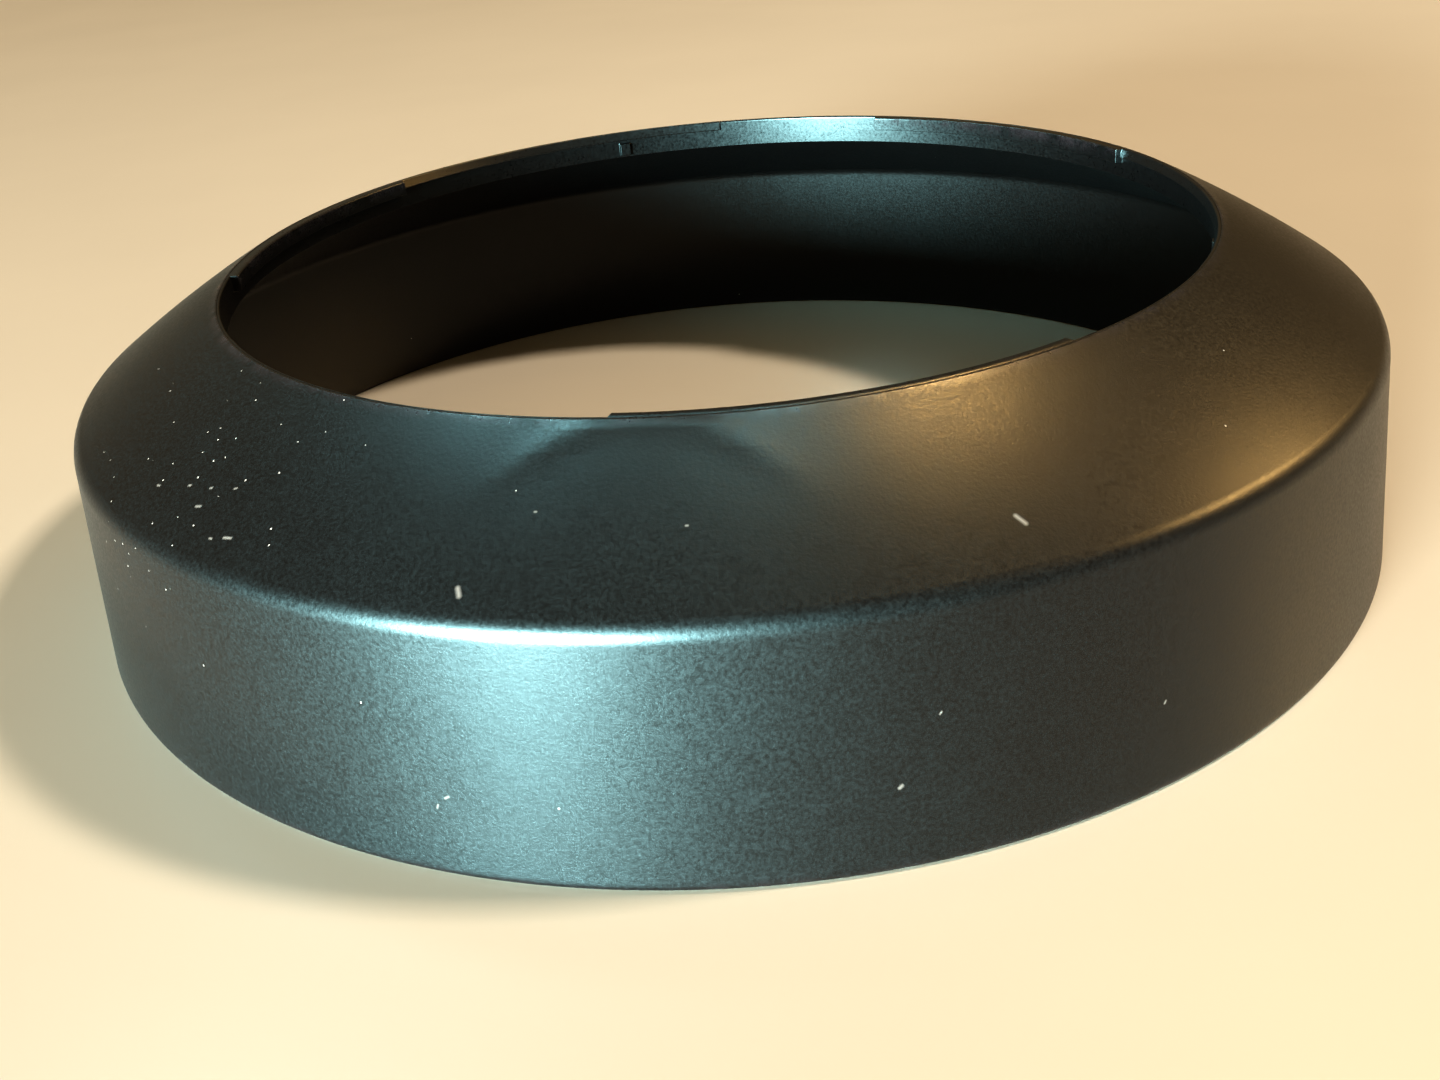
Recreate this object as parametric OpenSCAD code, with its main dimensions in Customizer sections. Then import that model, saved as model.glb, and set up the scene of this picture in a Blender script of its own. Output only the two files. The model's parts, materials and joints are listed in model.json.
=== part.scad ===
// Round lens hood: a short cylinder that turns over a rounded shoulder into a shallow, slightly domed cone,
// with an inner bayonet ring at the narrow end that twists onto the front of a camera lens.
// The front rim lies on z = 0 and the lens end points up, along +Z.

/* [Shell] */
// Outer diameter of the front rim
front_d = 87.8; // [86:0.2:96]
// Outer diameter where the side and the cone would meet, before rounding
shoulder_d = 85.6; // [80:0.2:87.8]
// Height of the shoulder above the front rim
shoulder_h = 14; // [8:0.5:15]
// Rounding radius of the shoulder
shoulder_round = 1.5; // [0.8:0.1:2.5]
// Overall height
total_h = 20; // [19:0.5:24]
// Outer diameter of the narrow rim at the lens end
rim_d = 65.6; // [65.6:0.1:70]
// Wall thickness of the side and of the cone at its two edges
wall = 1.45; // [1.2:0.05:2]
// How far the middle of the cone stands out from a straight line
cone_bulge = 0.2; // [0:0.05:0.4]

/* [Bayonet] */
// Number of lugs, and of gaps between them
lug_count = 3; // [2:1:4]
// Inner diameter of the bayonet ring between its lugs
groove_d = 65; // [64.6:0.1:65]
// Inner diameter across the lugs
lug_d = 63.9; // [62:0.1:64.4]
// Height of a lug along the axis
lug_h = 1.1; // [0.8:0.1:1.4]
// Angle that a lug covers, in degrees
lug_arc = 44; // [30:1:50]
// Direction of the first lug's leading end, in degrees from +X
lug_start = 19.5; // [0:0.5:60]
// Height of the bayonet ring's inner wall
ring_h = 2.1; // [1.8:0.1:2.6]
// Angle from a lug's trailing end to the start of the ramp, in degrees
ramp_gap = 24; // [16:1:30]
// Height of the ramp band at the top of the wall
ramp_h = 0.7; // [0.4:0.1:0.9]
// How far the ramp stands in from the wall
ramp_depth = 0.25; // [0.1:0.05:0.4]
// Angle from a lug's trailing end to the middle of the stop rib, in degrees
stop_at = 39; // [34:1:60]
// Width of the stop rib around the wall
stop_w = 1.0; // [0.6:0.1:1.6]
// How far the stop rib stands in from the wall
stop_depth = 0.3; // [0.2:0.05:0.5]
// Height of the stop rib
stop_h = 1.1; // [0.8:0.1:1.3]

/* [Hidden] */

// Smoothness of every turned surface
$fn = 180;
// Rounding of the front rim's two edges, and of the corner inside the shoulder
lip_round = 0.35;
inner_round = 0.9;
// Flat bands that make up the cone's bulge
cone_bands = 8;
// Width of the flat top edge that the shell and the ring each give to the narrow rim
rim_land = 0.15;
// Slope of the taper seat between the shell and the ring, from the horizontal
seat_angle = 60;
// Overlap that ties a lug, ramp or rib to the ring that it is moulded with
tie = 0.05;
// Angle that a ramp runs on into the lug that it leads to, in degrees
tie_arc = 2;
// How far below the top edge a ramp fades into the wall
ramp_fade = 0.03;
// Height of the stop rib's foot above the bottom of the ring's wall
stop_foot = 0.1;

front_r = front_d / 2;
shoulder_r = shoulder_d / 2;
rim_r = rim_d / 2;
groove_r = groove_d / 2;
lug_r = lug_d / 2;
ring_bottom = total_h - ring_h;
pitch_angle = 360 / lug_count;

// Drop of the cone for each millimetre that it widens
cone_fall = (total_h - shoulder_h) / (shoulder_r - rim_r);
// Height of the cone's wall, measured straight down through it
cone_drop = wall / cos(atan(cone_fall));
// The shell's inner side and inner cone meet at this radius and height
inner_side_r = shoulder_r - wall;
inner_side_z = shoulder_h + wall * cone_fall - cone_drop;
// The taper seat runs from the top edge down to the cone's inner surface
seat_top_r = rim_r - rim_land;
seat_fall = tan(seat_angle);
seat_end_r = (seat_fall * seat_top_r - cone_fall * rim_r + cone_drop) / (seat_fall - cone_fall);
seat_end_z = total_h - seat_fall * (seat_end_r - seat_top_r);

function unit(v) = v / norm(v);

// Points of the arc that rounds corner b, between the lines from a and to c
function rounded(a, b, c, r, steps = 8) =
    let (
        u = unit(a - b),
        v = unit(c - b),
        half = acos(u * v) / 2,
        centre = b + unit(u + v) * r / sin(half),
        first = b + u * r / tan(half) - centre,
        start = atan2(first.y, first.x),
        side = sign(u.x * v.y - u.y * v.x),
        sweep = side * (180 - 2 * half)
    )
    [for (i = [0:steps]) centre + r * [cos(start - sweep * i / steps), sin(start - sweep * i / steps)]];

// Points of the parabola that bulges out from the line between two corners, without those corners
function bulged(from, to, bulge, bands) =
    let (
        along = to - from,
        out = unit([along.y, -along.x])
    )
    [for (i = [1:bands - 1]) let (t = i / bands) from + along * t + out * 4 * bulge * t * (1 - t)];

// One sector of a turned profile, from one angle to another
module sector(from, arc) {
    rotate([0, 0, from])
        rotate_extrude(angle = arc)
            children();
}

// Side, shoulder and cone in one moulding, open at both ends
module hood_shell() {
    front_out = [front_r, 0];
    front_in = [front_r - wall, 0];
    shoulder = [shoulder_r, shoulder_h];
    rim_out = [rim_r, total_h];
    cone = bulged(shoulder, rim_out, cone_bulge, cone_bands);
    inner_corner = [inner_side_r, inner_side_z];
    seat_end = [seat_end_r, seat_end_z];
    color("#1d1e1f")
        rotate_extrude()
            polygon(concat(
                rounded(front_in, front_out, shoulder, lip_round, 4),
                rounded(front_out, shoulder, cone[0], shoulder_round),
                cone,
                [rim_out, [seat_top_r, total_h], seat_end],
                rounded(seat_end, inner_corner, front_in, inner_round),
                rounded(inner_corner, front_in, front_out, lip_round, 4)
            ));
}

// Wedge-shaped ring that sits in the taper seat, before its lugs are added
module ring_body() {
    rotate_extrude()
        polygon([
            [groove_r, ring_bottom],
            [seat_end_r, seat_end_z],
            [seat_top_r, total_h],
            [groove_r, total_h]
        ]);
}

// Lug that hooks behind the lens's own lug
module lug() {
    sector(0, lug_arc)
        translate([lug_r, total_h - lug_h])
            square([groove_r - lug_r + tie, lug_h]);
}

// Sloping band that leads the lens's lug down towards the next hood lug
module ramp() {
    ramp_low = total_h - ramp_h;
    sector(lug_arc + ramp_gap, pitch_angle - lug_arc - ramp_gap + tie_arc)
        polygon([
            [groove_r - ramp_depth, ramp_low],
            [groove_r + tie, ramp_low],
            [groove_r + tie, total_h - ramp_fade]
        ]);
}

// Rib in the groove that stops the lens's lug from turning the wrong way
module stop_rib() {
    rotate([0, 0, lug_arc + stop_at])
        translate([groove_r - stop_depth, -stop_w / 2, ring_bottom + stop_foot])
            cube([stop_depth + tie, stop_w, stop_h]);
}

// Ring with its lugs, ramps and stop ribs, moulded in one piece
module bayonet_ring() {
    color("#17181a")
        union() {
            ring_body();
            for (i = [0:lug_count - 1])
                rotate([0, 0, lug_start + i * pitch_angle]) {
                    lug();
                    ramp();
                    stop_rib();
                }
        }
}

hood_shell();
bayonet_ring();
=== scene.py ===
"""Finished look of a round lens hood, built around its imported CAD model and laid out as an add-on."""

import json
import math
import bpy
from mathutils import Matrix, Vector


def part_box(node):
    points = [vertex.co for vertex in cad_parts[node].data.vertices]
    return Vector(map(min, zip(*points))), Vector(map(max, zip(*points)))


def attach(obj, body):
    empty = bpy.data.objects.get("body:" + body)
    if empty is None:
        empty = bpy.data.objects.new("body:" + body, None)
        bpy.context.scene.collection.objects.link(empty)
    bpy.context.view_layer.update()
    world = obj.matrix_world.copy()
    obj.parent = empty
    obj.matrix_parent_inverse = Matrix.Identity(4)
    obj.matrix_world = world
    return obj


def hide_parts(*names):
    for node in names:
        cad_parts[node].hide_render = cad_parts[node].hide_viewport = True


bl_info = {
    "name": "Lens hood",
    "version": (1, 0, 0),
    "blender": (4, 5, 0),
    "location": "3D View > Sidebar > Lens hood",
    "description": "Moulded shell, bayonet ring, matte black plastics and a studio for a lens hood",
    "category": "Add Mesh",
}

import bpy
import numpy as np
from bpy.props import FloatProperty, FloatVectorProperty, IntProperty, PointerProperty
from mathutils import Matrix, Vector

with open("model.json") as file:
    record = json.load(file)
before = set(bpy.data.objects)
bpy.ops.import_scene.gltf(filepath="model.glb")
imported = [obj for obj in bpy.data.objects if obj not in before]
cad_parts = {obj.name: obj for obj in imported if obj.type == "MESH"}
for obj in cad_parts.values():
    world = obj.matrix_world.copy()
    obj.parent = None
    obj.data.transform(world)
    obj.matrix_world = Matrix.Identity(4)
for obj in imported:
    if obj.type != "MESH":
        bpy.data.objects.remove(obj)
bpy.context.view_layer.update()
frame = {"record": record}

MM = 0.001
SHELL_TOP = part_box("hood_shell")[1].z
LUG_MOUNT = next(m for m in frame["record"]["mounts"] if m["name"] == "bayonet_lugs")

# Soft boxes: name, direction round from +X and height angle in degrees, distance and size in metres, power
# in watts, colour, and the half of each material that it lights
SOFT_BOXES = [
    ("window_glare", 236.5, 6.4, 1.6, (0.58, 0.34), 345.0, "#b2e9ee", "glossy"),
    ("window_fill", 236.5, 5.2, 1.6, (0.54, 0.27), 80.0, "#f4f6f0", "diffuse"),
    ("key_fill", 1, 55, 0.8, (0.1, 0.1), 3.6, "#ffeedb", "diffuse"),
    ("rim_glow", 38, 64, 0.8, (0.1, 0.1), 2.4, "#ffd28a", "glossy"),
    ("shoulder_glow", 6, 32, 0.8, (0.34, 0.08), 3.4, "#ffd28a", "glossy"),
    ("ceiling_glow", 128, 58, 0.8, (0.14, 0.14), 2.0, "#a8e6ee", "glossy"),
    ("top_glow", 70, 78, 0.8, (0.1, 0.1), 0.9, "#a8e6ee", "glossy"),
]

# Colour and strength of the even light from all round
SURROUNDINGS, SURROUNDINGS_STRENGTH = "#f0cf9c", 0.24

# Refractive index of both plastics
PLASTIC_IOR = 1.5
# Sockets of a Mix node that take its two colours, and the one that gives their mix
MIX_A, MIX_B, MIX_RESULT = 6, 7, 2
# Height of the stop rib's foot above the bottom of the ring's wall
STOP_FOOT = 0.1 * MM
# Height of the gate's arch, how far it spreads to each side, and how far down the cone it fades
GATE_RIDGE, GATE_SPREAD, GATE_FADE = 0.09 * MM, 0.8 * MM, 3.6 * MM
# Direction of the top of the gate's arch from +X, and how sharply it bends, as 1 / metres
GATE_ANGLE, GATE_BEND = math.radians(262.8), 75.0
# How opaque a strand of lint is, and the share of cells that hold a speck far from the dusty patch
LINT_COVER = 0.5
STRAY_SPECKS = 0.0015

# Lint and dust on the shell: where each strand starts (degrees, height in mm), how far it runs round
# (degrees) and up (mm), and half its width in mm
LINT = [
    (288.6, 15.68, 0.4, -0.26, 0.17),
    (251.4, 15.0, 0.25, -0.2, 0.19),
    (219.5, 15.56, 0.3, 0.02, 0.11),
    (223.2, 16.0, 0.2, 0.03, 0.12),
    (225.8, 16.2, 0.15, 0.02, 0.11),
    (228.4, 16.44, 0.2, 0.04, 0.1),
    (225.8, 15.58, 0.45, 0.06, 0.12),
    (230.8, 15.1, 0.7, 0.05, 0.12),
    (229.5, 14.95, 0.2, 0.0, 0.11),
    (255.4, 17.19, 0.1, 0.0, 0.09),
    (266.4, 16.74, 0.1, 0.0, 0.09),
    (278.5, 4.69, 0.15, 0.1, 0.14),
    (249.5, 4.6, 0.25, 0.12, 0.1),
    (281.3, 8.22, 0.1, 0.1, 0.08),
    (297.5, 5.07, 0.1, 0.1, 0.1),
    (248.8, 3.96, 0.1, 0.2, 0.08),
]


def linear(hex_colour):
    """sRGB hex, such as "#1d1e1f", as linear red, green and blue, with the sRGB curve undone."""
    channels = [int(hex_colour[i : i + 2], 16) / 255 for i in (1, 3, 5)]
    return [c / 12.92 if c <= 0.04045 else ((c + 0.055) / 1.055) ** 2.4 for c in channels]


def length(name, description, value_mm, low_mm, high_mm):
    """A size property in metres, from values in millimetres."""
    return FloatProperty(
        name=name,
        description=description,
        default=value_mm * MM,
        min=low_mm * MM,
        max=high_mm * MM,
        precision=5,
        unit="LENGTH",
    )


def angle(name, description, degrees, low=-360, high=360):
    """An angle property, from values in degrees."""
    return FloatProperty(
        name=name,
        description=description,
        default=math.radians(degrees),
        min=math.radians(low),
        max=math.radians(high),
        unit="ROTATION",
    )


def colour(name, description, hex_colour):
    """A colour property, held in linear values."""
    return FloatVectorProperty(
        name=name,
        description=description,
        subtype="COLOR",
        default=linear(hex_colour),
        min=0,
        max=1,
    )


class HoodShellSizes(bpy.types.PropertyGroup):
    """Sizes of the turned shell. Radii are half of the real diameters."""

    front_r: length("Front radius", "Outer radius of the front rim, before its edge is rounded", 43.9, 40, 48)
    shoulder_r: length("Shoulder radius", "Outer radius where side and cone would meet", 42.8, 40, 44)
    shoulder_h: length("Shoulder height", "Height of the shoulder above the front rim", 14, 8, 15)
    shoulder_round: length("Shoulder rounding", "Rounding radius of the shoulder", 1.5, 0.8, 2.5)
    total_h: length("Height", "Height of the narrow rim above the front rim", SHELL_TOP / MM, 19, 24)
    rim_r: length("Rim radius", "Outer radius of the narrow rim", 32.8, 32.7, 35)
    rim_round: length("Rim rounding", "Rounding radius of the narrow rim's outer edge", 0.12, 0.05, 0.14)
    wall: length("Wall", "Wall thickness of the side and of the cone at its two edges", 1.45, 1.2, 2)
    cone_bulge: length("Cone bulge", "How far mid cone stands out from a straight line", 0.2, 0.05, 0.4)
    cone_bands: IntProperty(
        name="Cone bands", description="Stretches that the bulge is drawn from", default=8, min=4, max=12
    )
    lip_round: length("Lip rounding", "Rounding radius of the front rim's two edges", 0.35, 0.2, 0.6)
    inner_round: length("Inner rounding", "Rounding radius inside the shoulder", 0.9, 0.5, 1.5)
    seat_slope: angle("Seat slope", "Slope of the taper seat under the narrow rim", 60, 50, 70)
    rim_land: length("Rim land", "Width of the flat top edge that the shell gives to the rim", 0.15, 0.1, 0.2)
    around: IntProperty(
        name="Steps around", description="Grid steps around the axis", default=720, min=90, max=900
    )


class BayonetSizes(bpy.types.PropertyGroup):
    """Sizes of the bayonet ring's inner wall, lugs, ramps and stop ribs."""

    groove_r: length("Groove radius", "Inner radius between and behind the lugs", 32.5, 32.3, 32.6)
    lug_r: length("Lug radius", "Inner radius across the lugs", LUG_MOUNT["dims"]["r_mm"], 31, 32.2)
    lug_h: length("Lug height", "Height of a lug along the axis", LUG_MOUNT["dims"]["length_mm"], 0.8, 1.4)
    lug_start: angle("Lug start", "Direction of the first lug's leading end", 19.5)
    lug_arc: angle("Lug arc", "Angle that a lug covers", 44, 30, 50)
    lug_count: IntProperty(name="Lugs", description="Number of lugs around the ring", default=3, min=2, max=4)
    wall_h: length("Ring wall", "Height of the ring's inner wall", 2.1, 1.8, 2.6)
    ramp_gap: angle("Ramp gap", "Angle from a lug's trailing end to its ramp", 24, 16, 30)
    ramp_h: length("Ramp height", "Height of the ramp band below the top edge", 0.7, 0.4, 0.9)
    ramp_depth: length("Ramp depth", "How far the ramp's foot stands in from the wall", 0.25, 0.1, 0.4)
    stop_at: angle("Stop angle", "Angle from a lug's trailing end to its stop rib", 39, 34, 60)
    stop_w: length("Stop width", "Width of the stop rib around the wall", 1.0, 0.6, 1.6)
    stop_depth: length("Stop depth", "How far the stop rib stands in from the wall", 0.3, 0.2, 0.5)
    stop_h: length("Stop height", "Height of the stop rib", 1.1, 0.8, 1.3)
    edge_round: length("Edge rounding", "Rounding radius of the ring's moulded edges", 0.1, 0.05, 0.14)


class HoodFinish(bpy.types.PropertyGroup):
    """Colours and texture sizes of the two plastics and of the stage."""

    shell_black: colour("Shell black", "Body colour of the shell's plastic", "#121213")
    ring_black: colour("Ring black", "Body colour of the ring's plastic", "#101112")
    rubbed: colour("Rubbed edge", "Colour of plastic that handling has burnished", "#35353a")
    dust: colour("Dust", "Colour of dust and lint", "#b4b6b2")
    floor: colour("Floor", "Colour of the studio floor", "#e6dfcf")
    grain: length("Grain", "Size of one pit of the spark-eroded texture", 0.2, 0.05, 0.4)
    grain_depth: length("Grain depth", "Depth of the spark-eroded texture", 0.008, 0.001, 0.05)


# Shapes


def rounded_path(corners, radii, steps, fill):
    """Closed path through corners in the r-z plane, as an array of points.

    Each corner is replaced by the arc of its radius that touches both its lines: the arc's centre lies on
    the bisector, at radius / sin(half angle) from the corner. Each straight stretch then gets its own
    number of inner points, placed at (1 - cos(pi t)) / 2 along it so that they crowd towards the arcs.
    """
    corners = np.asarray(corners, float)
    before = np.roll(corners, 1, axis=0) - corners
    after = np.roll(corners, -1, axis=0) - corners
    before /= np.linalg.norm(before, axis=1)[:, None]
    after /= np.linalg.norm(after, axis=1)[:, None]
    arcs = []
    for corner, u, v, radius, count in zip(corners, before, after, radii, steps):
        half = math.acos(float(u @ v)) / 2
        bisector = (u + v) / np.linalg.norm(u + v)
        centre = corner + bisector * radius / math.sin(half)
        start = corner + u * radius / math.tan(half) - centre
        turn = math.pi - 2 * half
        side = -np.sign(u[0] * v[1] - u[1] * v[0])
        turns = side * turn * np.linspace(0, 1, count + 1)
        across = np.array([-start[1], start[0]])
        arcs.append(centre + np.cos(turns)[:, None] * start + np.sin(turns)[:, None] * across)
    stretches = []
    for arc, following, count in zip(arcs, arcs[1:] + arcs[:1], fill):
        t = 0.5 - 0.5 * np.cos(np.pi * np.arange(1, count + 1) / (count + 1))
        stretches.append(np.vstack([arc, arc[-1] + t[:, None] * (following[0] - arc[-1])]))
    return np.vstack(stretches)


def turned_points(radius, height, angles):
    """Points of a turned surface: (r cos a, r sin a, z) for every path row and every angle column."""
    radius = np.broadcast_to(radius, (len(height), len(angles)))
    height = np.broadcast_to(height, radius.shape)
    return np.stack([radius * np.cos(angles), radius * np.sin(angles), height], axis=-1)


def closed_grid(name, points, attributes):
    """A mesh object from a grid of points that closes on itself both ways, like a torus.

    Quad (i, j) joins rows i, i + 1 and columns j, j + 1, each taken round to 0 at its end. attributes
    holds a float array for each name, which is spread over the grid's shape.
    """
    rows, columns = points.shape[:2]
    i, j = np.meshgrid(np.arange(rows), np.arange(columns), indexing="ij")
    below, beside = (i + 1) % rows, (j + 1) % columns
    corners = [i * columns + j, i * columns + beside, below * columns + beside, below * columns + j]
    quads = np.stack(corners, -1).reshape(-1, 4)
    mesh = bpy.data.meshes.new(name)
    mesh.vertices.add(rows * columns)
    mesh.vertices.foreach_set("co", points.astype(np.float32).ravel())
    mesh.loops.add(quads.size)
    mesh.loops.foreach_set("vertex_index", quads.astype(np.int32).ravel())
    mesh.polygons.add(len(quads))
    mesh.polygons.foreach_set("loop_start", np.arange(0, quads.size, 4, dtype=np.int32))
    mesh.polygons.foreach_set("use_smooth", np.ones(len(quads), bool))
    mesh.update(calc_edges=True)
    for label, values in attributes.items():
        layer = mesh.attributes.new(label, "FLOAT", "POINT")
        layer.data.foreach_set("value", np.broadcast_to(values, (rows, columns)).astype(np.float32).ravel())
    mesh.validate()
    piece = bpy.data.objects.new(name, mesh)
    bpy.context.scene.collection.objects.link(piece)
    return piece


def smooth_step(x, start, end):
    """0 before start, 1 after end, and 3t^2 - 2t^3 in between."""
    t = np.clip((x - start) / (end - start), 0, 1)
    return t * t * (3 - 2 * t)


def gate_mark(angles, drop, sizes):
    """Height of the faint arch that the mould's filling gate leaves on the cone, in metres.

    The arch is the parabola drop = bend x^2 from its top at the rim, where x runs around the cone, whose
    radius widens by about 0.85 of the drop. Its height is a bell curve of the distance across that line,
    and another bell curve fades it out down the cone.
    """
    down = drop[:, None]
    widening = 0.85
    turn = (angles - GATE_ANGLE + np.pi) % (2 * np.pi) - np.pi
    x = turn[None, :] * (sizes.rim_r + widening * down)
    across = (down - GATE_BEND * x * x) / np.sqrt(1 + (2 * GATE_BEND * x) ** 2)
    return GATE_RIDGE * np.exp(-((across / GATE_SPREAD) ** 2)) * np.exp(-((down / GATE_FADE) ** 2))


def cone_point(sizes, share):
    """A point of the cone's outer line, from the shoulder (0) to the narrow rim (1), as radius and height.

    It lies share of the way along the straight line, plus 4 bulge share (1 - share) straight out from it.
    """
    run, rise = sizes.shoulder_r - sizes.rim_r, sizes.total_h - sizes.shoulder_h
    out = 4 * sizes.cone_bulge * share * (1 - share) / math.hypot(run, rise)
    return sizes.shoulder_r - share * run + out * rise, sizes.shoulder_h + share * rise + out * run


def shell_profile(sizes):
    """Corners of the shell's section, its rounding radii, arc steps and fill counts, from the front rim up.

    The taper seat starts at the top edge and ends where it crosses the cone's inner line, which lies
    drop = wall / cos(slope) straight down from the outer one. The bulge's corners are rounded by nearly
    the parabola's own radius, chord^2 / (8 bulge), so that their arcs almost touch.
    """
    fall = (sizes.total_h - sizes.shoulder_h) / (sizes.shoulder_r - sizes.rim_r)
    drop = sizes.wall * math.hypot(1, fall)
    seat_fall = math.tan(sizes.seat_slope)
    seat_top_r = sizes.rim_r - sizes.rim_land
    seat_r = (seat_fall * seat_top_r - fall * sizes.rim_r + drop) / (seat_fall - fall)
    seat_z = sizes.total_h - seat_fall * (seat_r - seat_top_r)
    chord = math.hypot(sizes.shoulder_r - sizes.rim_r, sizes.total_h - sizes.shoulder_h)
    bulge_round = 0.95 * chord**2 / (8 * sizes.cone_bulge)
    bulged = [cone_point(sizes, i / sizes.cone_bands) for i in range(1, sizes.cone_bands)]
    corners = [
        (sizes.front_r, 0),
        (sizes.shoulder_r, sizes.shoulder_h),
        *bulged,
        (sizes.rim_r, sizes.total_h),
        (seat_top_r, sizes.total_h),
        (seat_r, seat_z),
        (sizes.shoulder_r - sizes.wall, sizes.shoulder_h + sizes.wall * fall - drop),
        (sizes.front_r - sizes.wall, 0),
    ]
    sharp = 0.02 * MM
    radii = [sizes.lip_round, sizes.shoulder_round, *[bulge_round] * len(bulged)]
    radii += [sizes.rim_round, sharp, sharp, sizes.inner_round, sizes.lip_round]
    steps = [6, 16, *[2] * len(bulged), 5, 1, 1, 8, 6]
    fill = [12, 3, *[2] * len(bulged), 1, 2, 8, 10, 2]
    return corners, radii, steps, fill


def seat_end(sizes):
    """Radius and height where the taper seat meets the cone's inner surface."""
    return shell_profile(sizes)[0][-3]


def build_shell(sizes):
    """The shell: its rounded section turned about Z, with the gate's faint arch raised on the cone.

    The arch moves the cone's points out along its slope's normal, for those within a skin's depth of the
    outer line, and it starts just below the rim. Wear falls as a bell curve of the distance from the
    narrow rim's outer edge, and more weakly of the height above the front rim.
    """
    path = rounded_path(*shell_profile(sizes))
    angles = np.linspace(0, 2 * np.pi, sizes.around, endpoint=False)
    radius, height = path[:, 0], path[:, 1]
    slope = math.atan2(sizes.total_h - sizes.shoulder_h, sizes.shoulder_r - sizes.rim_r)
    drop = (sizes.total_h - height) / math.sin(slope)
    skin, arch_start, rim_rub, front_rub = 0.3 * MM, 0.4 * MM, 0.35 * MM, 0.4 * MM
    outer = height > sizes.total_h - (radius - sizes.rim_r) * math.tan(slope) - skin
    on_cone = outer & (radius > sizes.rim_r) & (radius < sizes.shoulder_r - sizes.shoulder_round)
    raised = np.where(on_cone[:, None], gate_mark(angles, drop, sizes), 0)
    raised = raised * smooth_step(drop, 0, arch_start)[:, None]
    points = turned_points(
        radius[:, None] + raised * math.sin(slope), height[:, None] + raised * math.cos(slope), angles
    )
    rim = np.hypot(radius - sizes.rim_r, height - sizes.total_h)
    wear = np.maximum(np.exp(-((rim / rim_rub) ** 2)), 0.8 * np.exp(-((height / front_rub) ** 2)))
    return closed_grid("shell_moulding", points, {"wear": wear[:, None]})


def bayonet_inset(angles, height, sizes, top):
    """How far the ring's inner wall stands in from the groove, at every height row and angle column.

    A lug, a ramp and a stop rib are each a window in angle times a window in height, and the deepest of
    them counts. The ramp's depth falls in a straight line from its foot to nothing at the top edge.
    """
    z = height[:, None]
    pitch = 2 * np.pi / sizes.lug_count
    turned = (angles - sizes.lug_start) % pitch
    fade = sizes.edge_round / sizes.groove_r
    lug_low, ramp_low = top - sizes.lug_h, top - sizes.ramp_h
    stop_low = top - sizes.wall_h + STOP_FOOT
    lug_around = smooth_step(turned, 0, fade) * (1 - smooth_step(turned, sizes.lug_arc - fade, sizes.lug_arc))
    lug = (sizes.groove_r - sizes.lug_r) * lug_around * smooth_step(z, lug_low, lug_low + sizes.edge_round)
    ramp_from = sizes.lug_arc + sizes.ramp_gap
    ramp_around = smooth_step(turned, ramp_from, ramp_from + fade)
    ramp_fall = np.clip((top - z) / sizes.ramp_h, 0, 1)
    ramp = sizes.ramp_depth * ramp_around * ramp_fall * smooth_step(z, ramp_low, ramp_low + sizes.edge_round)
    stop_middle, stop_half = sizes.lug_arc + sizes.stop_at, sizes.stop_w / 2 / sizes.groove_r
    stop_around = 1 - smooth_step(np.abs(turned - stop_middle), stop_half - fade, stop_half)
    stop_up = smooth_step(z, stop_low, stop_low + sizes.edge_round)
    stop_top = stop_low + sizes.stop_h
    stop_up = stop_up * (1 - smooth_step(z, stop_top - sizes.edge_round, stop_top))
    stop = sizes.stop_depth * stop_around * stop_up
    return np.maximum(np.maximum(lug, ramp), stop)


def crowded(start, end, marks, spacing, fine, reach):
    """Rising values from start to end: every spacing, and every fine step within reach of each mark.

    A value that is less than 0.4 of a fine step from the one before it is left out.
    """
    values = [np.arange(start, end, spacing)]
    values += [np.arange(mark - reach, mark + reach, fine) for mark in marks]
    values = np.unique(np.concatenate(values))
    values = values[(values >= start) & (values < end)]
    keep = np.concatenate([[True], np.diff(values) > fine * 0.4])
    return values[keep]


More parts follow.
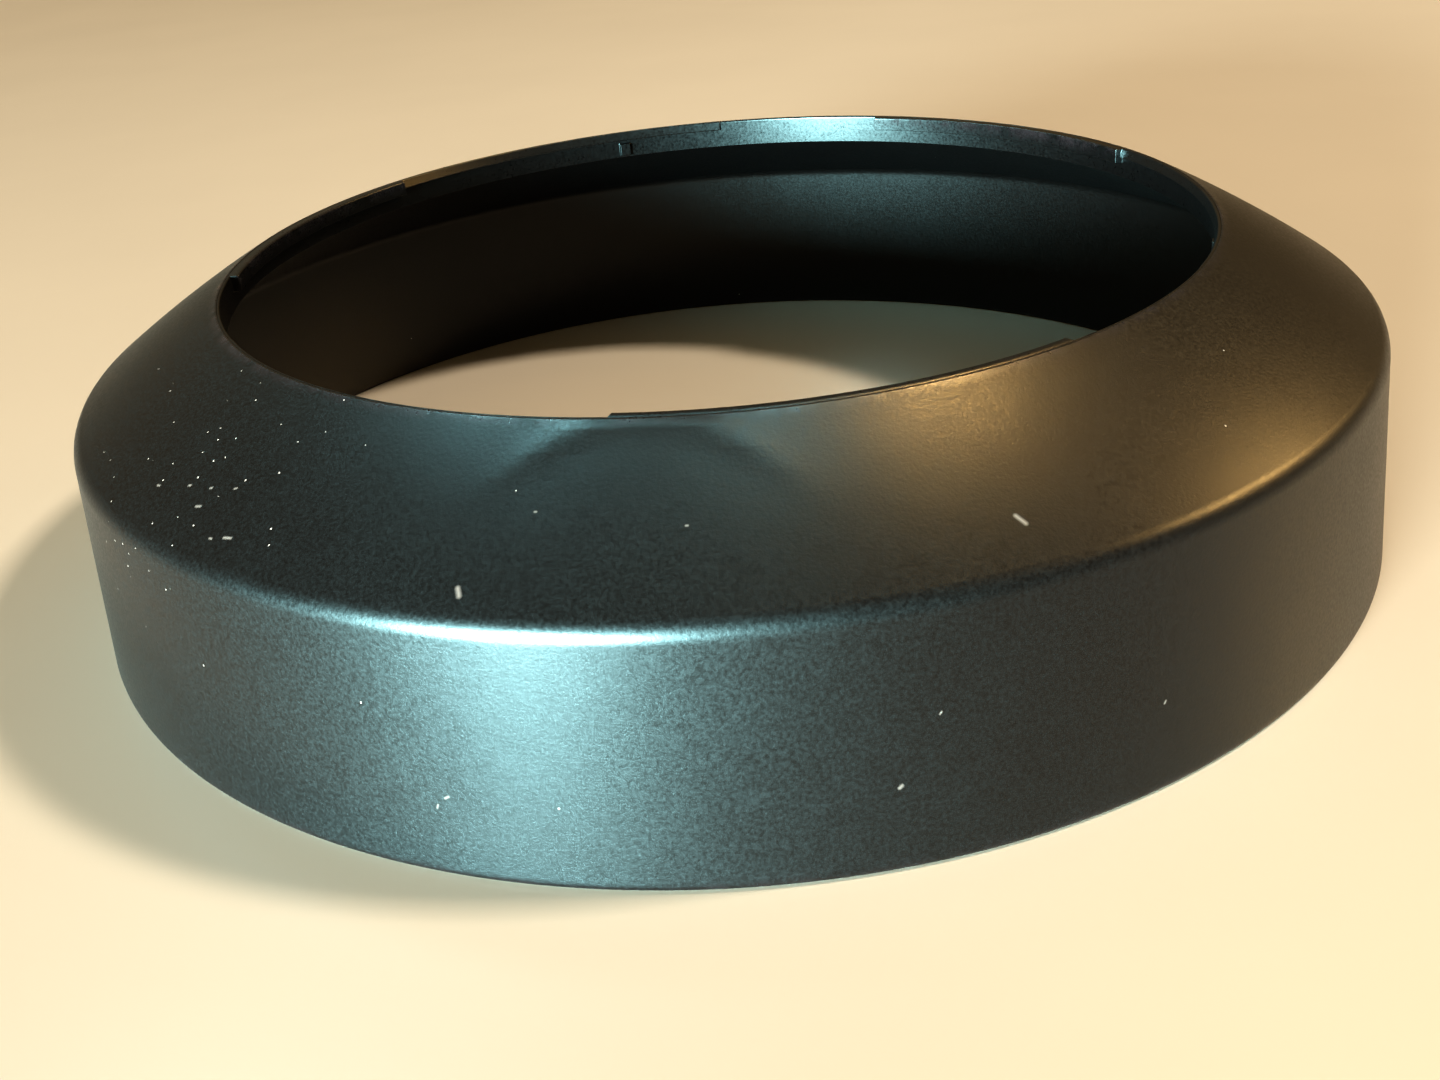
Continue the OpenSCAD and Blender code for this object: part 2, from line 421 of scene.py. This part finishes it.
def build_bayonet_ring(shell, sizes):
    """The bayonet ring: a closed section turned about Z, whose inner wall follows bayonet_inset.

    The section runs up the inner wall, over the quarter circle of the top edge, out along the top land,
    down the taper seat and back along the underside, the last two as straight lines. The seat stays a
    hair's gap clear of the shell's. Wear is the fourth power of how far a point stands in from the groove,
    as a share of a lug's depth, and fades from the top edge to a lug's underside.
    """
    top = shell.total_h
    bottom = top - sizes.wall_h
    pitch = 2 * np.pi / sizes.lug_count
    stop_half = sizes.stop_w / 2 / sizes.groove_r
    ends = [0, sizes.lug_arc, sizes.lug_arc + sizes.ramp_gap]
    ends += [sizes.lug_arc + sizes.stop_at - stop_half, sizes.lug_arc + sizes.stop_at + stop_half]
    starts = [sizes.lug_start + i * pitch for i in range(sizes.lug_count)]
    marks = [(start + end) % (2 * np.pi) for start in starts for end in ends]
    fine = sizes.edge_round / sizes.groove_r / 5
    angles = crowded(0, 2 * np.pi, marks, spacing=math.radians(0.6), fine=fine, reach=fine * 7)
    levels = [bottom + STOP_FOOT, bottom + STOP_FOOT + sizes.stop_h, top - sizes.lug_h, top - sizes.ramp_h]
    height = crowded(
        bottom, top - sizes.edge_round, levels, spacing=0.15 * MM, fine=0.02 * MM, reach=0.13 * MM
    )
    inner = sizes.groove_r - bayonet_inset(angles, height, sizes, top)
    edge = sizes.groove_r - bayonet_inset(angles, np.array([top - sizes.edge_round]), sizes, top)
    # Added to a column of levels, this spreads them over every angle
    all_round = np.zeros_like(edge)
    turn = np.radians([0, 22.5, 45, 67.5, 90])[:, None]
    arc_r = edge + sizes.edge_round * (1 - np.cos(turn))
    arc_z = top - sizes.edge_round * (1 - np.sin(turn)) + all_round
    land_r = shell.rim_r - shell.rim_land
    end_r, end_z = seat_end(shell)
    gap = 0.01 * MM
    t = np.linspace(0, 1, 5)[:, None]
    taper_r = (land_r - gap) + t * (end_r - land_r) + all_round
    taper_z = top + t * (end_z - top) + all_round
    t = np.linspace(0, 1, 6)[1:-1, None]
    under_r = (end_r - gap) + t * (sizes.groove_r - end_r) + all_round
    under_z = end_z + t * (bottom - end_z) + all_round
    radius = np.vstack([inner, arc_r, taper_r, under_r])
    level = np.vstack([height[:, None] + all_round, arc_z, taper_z, under_z])
    points = turned_points(radius, level, angles)[::-1]
    standing = (sizes.groove_r - radius[::-1]) / (sizes.groove_r - sizes.lug_r)
    wear = np.clip(standing, 0, 1) ** 4 * smooth_step(level[::-1], top - sizes.lug_h, top)
    return closed_grid("bayonet_ring_moulding", points, {"wear": wear})


# Materials


def add_node(tree, kind, inputs=None, **settings):
    """Adds a node, sets its properties, and sets or links its inputs: a socket is linked, a value is set."""
    made = tree.nodes.new(kind)
    for name, value in settings.items():
        setattr(made, name, value)
    for name, value in (inputs or {}).items():
        if isinstance(value, bpy.types.NodeSocket):
            tree.links.new(value, made.inputs[name])
        else:
            made.inputs[name].default_value = value
    return made


def new_material(name):
    """An empty node material and its tree."""
    material = bpy.data.materials.new(name)
    material.use_nodes = True
    material.node_tree.nodes.clear()
    return material, material.node_tree


def rgba(values):
    """Linear colour values with full alpha."""
    return (*values, 1.0)


def fibre_mask(tree, place, start, end, half_width):
    """LINT_COVER on the straight line from start to end, falling to 0 at half_width beside it.

    The nearest point of the line is start + t (end - start), where t is the projection of the place on the
    line, held between 0 and 1.
    """
    start, end = Vector(start), Vector(end)
    along = end - start
    from_start = add_node(tree, "ShaderNodeVectorMath", {0: place, 1: start}, operation="SUBTRACT")
    share = add_node(
        tree, "ShaderNodeVectorMath", {0: from_start.outputs[0], 1: along / along.length_squared},
        operation="DOT_PRODUCT",
    )
    held = add_node(tree, "ShaderNodeClamp", {"Value": share.outputs["Value"]})
    nearest = add_node(
        tree, "ShaderNodeVectorMath", {0: along, "Scale": held.outputs[0]}, operation="SCALE"
    )
    off = add_node(
        tree, "ShaderNodeVectorMath", {0: from_start.outputs[0], 1: nearest.outputs[0]}, operation="DISTANCE"
    )
    return add_node(
        tree, "ShaderNodeMapRange",
        {"Value": off.outputs["Value"], "From Min": 0.0, "From Max": half_width,
         "To Min": LINT_COVER, "To Max": 0.0},
    ).outputs[0]


def on_shell(sizes, degrees, height_mm):
    """A point on the shell's outside, on the side's straight line below the shoulder or on the cone above it.

    Its height is as given on the side. On the cone, the bulge moves it a little further out and up.
    """
    height = height_mm * MM
    if height < sizes.shoulder_h:
        radius = sizes.front_r + (sizes.shoulder_r - sizes.front_r) * height / sizes.shoulder_h
    else:
        radius, height = cone_point(sizes, (height - sizes.shoulder_h) / (sizes.total_h - sizes.shoulder_h))
    a = math.radians(degrees)
    return radius * math.cos(a), radius * math.sin(a), height


def black_plastic(name, finish, base, roughness, grain_share):
    """Adds the parts that both blacks share, and returns (material, tree, place, colour, roughness, bump).

    The spark-eroded texture is a fine pitted grain, drawn as noise of the grain's size and as bump of its
    depth. It is about twice as coarse as a real one, so that it shows. Broader, weak noise varies the
    sheen as a mould's uneven etch does, and the wear attribute, broken up by patchy noise, turns the
    plastic lighter and smoother.
    """
    etch_size, patch_size = 4.5 * MM, 2.2 * MM
    material, tree = new_material(name)
    place = add_node(tree, "ShaderNodeTexCoord").outputs["Object"]
    pits = add_node(
        tree, "ShaderNodeTexNoise",
        {"Vector": place, "Scale": 1 / finish.grain, "Detail": 2.0, "Roughness": 0.65},
    )
    etch = add_node(
        tree, "ShaderNodeTexNoise",
        {"Vector": place, "Scale": 1 / etch_size, "Detail": 3.0, "Roughness": 0.6},
    )
    sheen = add_node(
        tree, "ShaderNodeMapRange",
        {"Value": etch.outputs["Fac"], "From Min": 0.3, "From Max": 0.7,
         "To Min": roughness - 0.012, "To Max": roughness + 0.012},
    )
    grainy = add_node(
        tree, "ShaderNodeMapRange",
        {"Value": pits.outputs["Fac"], "From Min": 0.3, "From Max": 0.7, "To Min": -0.06, "To Max": 0.06},
    )
    dulled = add_node(tree, "ShaderNodeMath", {0: sheen.outputs[0], 1: grainy.outputs[0]}, operation="ADD")
    rubbed = add_node(tree, "ShaderNodeAttribute", attribute_name="wear")
    patch = add_node(
        tree, "ShaderNodeTexNoise",
        {"Vector": place, "Scale": 1 / patch_size, "Detail": 4.0, "Roughness": 0.7},
    )
    rub = add_node(
        tree, "ShaderNodeMapRange",
        {"Value": patch.outputs["Fac"], "From Min": 0.38, "From Max": 0.7, "To Min": 0.0, "To Max": 1.0},
    )
    worn = add_node(
        tree, "ShaderNodeMath", {0: rubbed.outputs["Fac"], 1: rub.outputs[0]}, operation="MULTIPLY"
    )
    tint = add_node(
        tree, "ShaderNodeMapRange",
        {"Value": pits.outputs["Fac"], "From Min": 0.3, "From Max": 0.7, "To Min": 0.75, "To Max": 1.25},
    )
    mottled = add_node(
        tree, "ShaderNodeVectorMath", {0: base, "Scale": tint.outputs[0]}, operation="SCALE"
    )
    body = add_node(
        tree, "ShaderNodeMix",
        {"Factor": worn.outputs[0], MIX_A: mottled.outputs[0], MIX_B: rgba(finish.rubbed)},
        data_type="RGBA",
    )
    polished = add_node(
        tree, "ShaderNodeMath", {0: worn.outputs[0], 1: -0.14, 2: dulled.outputs[0]}, operation="MULTIPLY_ADD"
    )
    bump = add_node(
        tree, "ShaderNodeBump",
        {"Height": pits.outputs["Fac"], "Distance": finish.grain_depth * grain_share, "Strength": 1.0},
    )
    return material, tree, place, body.outputs[MIX_RESULT], polished.outputs[0], bump.outputs[0]


def dust_specks(tree, place, centre, reach, cell, size, share):
    """Mask of round specks of a radius (size), one to a Voronoi cell, dense near a centre.

    The share of cells that keep their speck falls in a straight line to STRAY_SPECKS at reach.
    """
    cells = add_node(tree, "ShaderNodeTexVoronoi", {"Vector": place, "Scale": 1 / cell, "Randomness": 1.0})
    near = add_node(
        tree, "ShaderNodeMath", {0: cells.outputs["Distance"], 1: size / cell}, operation="LESS_THAN"
    )
    pick = add_node(tree, "ShaderNodeSeparateColor", {0: cells.outputs["Color"]})
    off = add_node(tree, "ShaderNodeVectorMath", {0: place, 1: centre}, operation="DISTANCE")
    chance = add_node(
        tree, "ShaderNodeMapRange",
        {"Value": off.outputs["Value"], "From Min": 0.0, "From Max": reach,
         "To Min": share, "To Max": STRAY_SPECKS},
    )
    kept = add_node(tree, "ShaderNodeMath", {0: pick.outputs[0], 1: chance.outputs[0]}, operation="LESS_THAN")
    return add_node(
        tree, "ShaderNodeMath", {0: near.outputs[0], 1: kept.outputs[0]}, operation="MULTIPLY"
    ).outputs[0]


def moulded_abs_shell(finish, shell):
    """Black ABS with a spark-eroded mould finish: dull, with a broad soft sheen and a fine grain.

    It has picked up dust, which is thickest on one side of the cone, and a few lint fibres.
    """
    material, tree, place, body, roughness, bump = black_plastic(
        "black_abs_spark_eroded", finish, finish.shell_black, roughness=0.37, grain_share=1.0
    )
    dusty_side = on_shell(shell, 222, 16.5)
    dirt = dust_specks(
        tree, place, centre=dusty_side, reach=12 * MM, cell=0.4 * MM, size=0.06 * MM, share=0.24
    )
    for degrees, height_mm, turn, climb_mm, half_width_mm in LINT:
        start = on_shell(shell, degrees, height_mm)
        end = on_shell(shell, degrees + turn, height_mm + climb_mm)
        strand = fibre_mask(tree, place, start, end, half_width_mm * MM)
        dirt = add_node(tree, "ShaderNodeMath", {0: dirt, 1: strand}, operation="MAXIMUM").outputs[0]
    dusted = add_node(
        tree, "ShaderNodeMix", {"Factor": dirt, MIX_A: body, MIX_B: rgba(finish.dust)}, data_type="RGBA"
    )
    surface = add_node(
        tree, "ShaderNodeBsdfPrincipled",
        {"Base Color": dusted.outputs[MIX_RESULT], "Roughness": roughness, "Normal": bump,
         "IOR": PLASTIC_IOR},
    )
    add_node(tree, "ShaderNodeOutputMaterial", {"Surface": surface.outputs[0]})
    return material


def moulded_abs_ring(finish):
    """The same black ABS from a smoother mould, burnished where the lens's lugs rub it."""
    material, tree, _, body, roughness, bump = black_plastic(
        "black_abs_fine_mould", finish, finish.ring_black, roughness=0.33, grain_share=0.5
    )
    surface = add_node(
        tree, "ShaderNodeBsdfPrincipled",
        {"Base Color": body, "Roughness": roughness, "Normal": bump, "IOR": PLASTIC_IOR},
    )
    add_node(tree, "ShaderNodeOutputMaterial", {"Surface": surface.outputs[0]})
    return material


def pale_laminate(finish):
    """Pale laminate of the studio floor: satin near the hood, matt far from it, with a faint fleck.

    Its sheen fades out by a smooth step of the distance from the hood's middle, slowly enough that no edge
    shows, so that the far floor stays plainer.
    """
    material, tree = new_material("pale_laminate")
    place = add_node(tree, "ShaderNodeTexCoord").outputs["Object"]
    fleck = add_node(tree, "ShaderNodeTexNoise", {"Vector": place, "Scale": 1 / (40 * MM), "Detail": 4.0})
    shade = add_node(
        tree, "ShaderNodeMapRange", {"Value": fleck.outputs["Fac"], "To Min": 0.96, "To Max": 1.04}
    )
    tone = add_node(
        tree, "ShaderNodeVectorMath", {0: finish.floor, "Scale": shade.outputs[0]}, operation="SCALE"
    )
    away = add_node(tree, "ShaderNodeVectorMath", {0: place}, operation="LENGTH")
    sheen = add_node(
        tree, "ShaderNodeMapRange",
        {"Value": away.outputs["Value"], "From Min": 60 * MM, "From Max": 480 * MM,
         "To Min": 0.5, "To Max": 0.0},
        interpolation_type="SMOOTHSTEP",
    )
    surface = add_node(
        tree, "ShaderNodeBsdfPrincipled",
        {"Base Color": tone.outputs[0], "Roughness": 0.36, "Specular IOR Level": sheen.outputs[0]},
    )
    add_node(tree, "ShaderNodeOutputMaterial", {"Surface": surface.outputs[0]})
    return material


# Operators


class HOOD_OT_shell(bpy.types.Operator):
    """Build the shell's moulding"""

    bl_idname = "lens_hood.shell"
    bl_label = "Shell"

    def execute(self, context):
        scene = context.scene
        piece = build_shell(scene.hood_shell)
        piece.data.materials.append(moulded_abs_shell(scene.hood_finish, scene.hood_shell))
        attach(piece, "root")
        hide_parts("hood_shell")
        return {"FINISHED"}


class HOOD_OT_bayonet_ring(bpy.types.Operator):
    """Build the bayonet ring's moulding"""

    bl_idname = "lens_hood.bayonet_ring"
    bl_label = "Bayonet ring"

    def execute(self, context):
        scene = context.scene
        piece = build_bayonet_ring(scene.hood_shell, scene.hood_bayonet)
        piece.data.materials.append(moulded_abs_ring(scene.hood_finish))
        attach(piece, "root")
        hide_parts("bayonet_ring")
        return {"FINISHED"}


def add_area_light(name, azimuth, elevation, distance, size, power, hex_colour, lights):
    """A soft box that faces the hood, placed by its direction round from +X and its height angle in degrees.

    It lights the diffuse or the glossy half of each material, so that sheen and shadow are set apart.
    """
    data = bpy.data.lights.new(name, "AREA")
    data.shape = "RECTANGLE"
    data.size, data.size_y = size
    data.energy = power
    data.color = linear(hex_colour)
    light = bpy.data.objects.new(name, data)
    light.visible_diffuse = lights == "diffuse"
    light.visible_glossy = lights == "glossy"
    a, e = math.radians(azimuth), math.radians(elevation)
    light.location = distance * Vector((math.cos(a) * math.cos(e), math.sin(a) * math.cos(e), math.sin(e)))
    light.rotation_euler = light.location.to_track_quat("Z", "Y").to_euler()
    bpy.context.scene.collection.objects.link(light)


def add_camera():
    """A slightly wide lens close to the hood, aimed down just left of its middle and a little rolled."""
    data = bpy.data.cameras.new("camera")
    data.lens = 37.18
    data.sensor_width = 36.0
    data.clip_start = 0.005
    place = Vector((0, -99.03, 47.72)) * MM
    target = Vector((-1.50, 0, -3.94)) * MM
    roll = math.radians(-5.32)
    camera = bpy.data.objects.new("camera", data)
    turn = (place - target).to_track_quat("Z", "Y").to_matrix() @ Matrix.Rotation(roll, 3, "Z")
    camera.matrix_world = Matrix.Translation(place) @ turn.to_4x4()
    bpy.context.scene.collection.objects.link(camera)
    bpy.context.scene.camera = camera


class HOOD_OT_stage(bpy.types.Operator):
    """Lay the floor, and set the soft boxes, the surroundings and the camera"""

    bl_idname = "lens_hood.stage"
    bl_label = "Stage"

    def execute(self, context):
        half = 1.5  # metres
        mesh = bpy.data.meshes.new("floor")
        corners = [(-half, -half, 0), (half, -half, 0), (half, half, 0), (-half, half, 0)]
        mesh.from_pydata(corners, [], [(0, 1, 2, 3)])
        floor = bpy.data.objects.new("floor", mesh)
        floor.data.materials.append(pale_laminate(context.scene.hood_finish))
        context.scene.collection.objects.link(floor)
        for soft_box in SOFT_BOXES:
            add_area_light(*soft_box)
        world = bpy.data.worlds.new("studio")
        world.use_nodes = True
        tree = world.node_tree
        tree.nodes.clear()
        glow = add_node(
            tree, "ShaderNodeBackground",
            {"Color": rgba(linear(SURROUNDINGS)), "Strength": SURROUNDINGS_STRENGTH},
        )
        add_node(tree, "ShaderNodeOutputWorld", {"Surface": glow.outputs[0]})
        context.scene.world = world
        context.scene.view_settings.view_transform = "Standard"
        context.scene.view_settings.look = "High Contrast"
        add_camera()
        return {"FINISHED"}


class HOOD_PT_panel(bpy.types.Panel):
    """Lists the steps that build the lens hood"""

    bl_idname = "HOOD_PT_panel"
    bl_label = "Lens hood"
    bl_space_type = "VIEW_3D"
    bl_region_type = "UI"
    bl_category = "Lens hood"

    def draw(self, context):
        for operator in OPERATORS:
            self.layout.operator(operator.bl_idname)


GROUPS = {"hood_shell": HoodShellSizes, "hood_bayonet": BayonetSizes, "hood_finish": HoodFinish}
OPERATORS = (HOOD_OT_shell, HOOD_OT_bayonet_ring, HOOD_OT_stage)


def register():
    """Registers the property groups, the operators and the panel."""
    for name, group in GROUPS.items():
        bpy.utils.register_class(group)
        setattr(bpy.types.Scene, name, PointerProperty(type=group))
    for operator in OPERATORS:
        bpy.utils.register_class(operator)
    bpy.utils.register_class(HOOD_PT_panel)


def unregister():
    """Takes away what register added, in the opposite order."""
    bpy.utils.unregister_class(HOOD_PT_panel)
    for operator in reversed(OPERATORS):
        bpy.utils.unregister_class(operator)
    for name, group in reversed(GROUPS.items()):
        delattr(bpy.types.Scene, name)
        bpy.utils.unregister_class(group)


def main():
    """Builds the pieces and the stage in order."""
    register()
    bpy.ops.lens_hood.stage()
    bpy.ops.lens_hood.shell()
    bpy.ops.lens_hood.bayonet_ring()


if __name__ == "__main__":
    main()
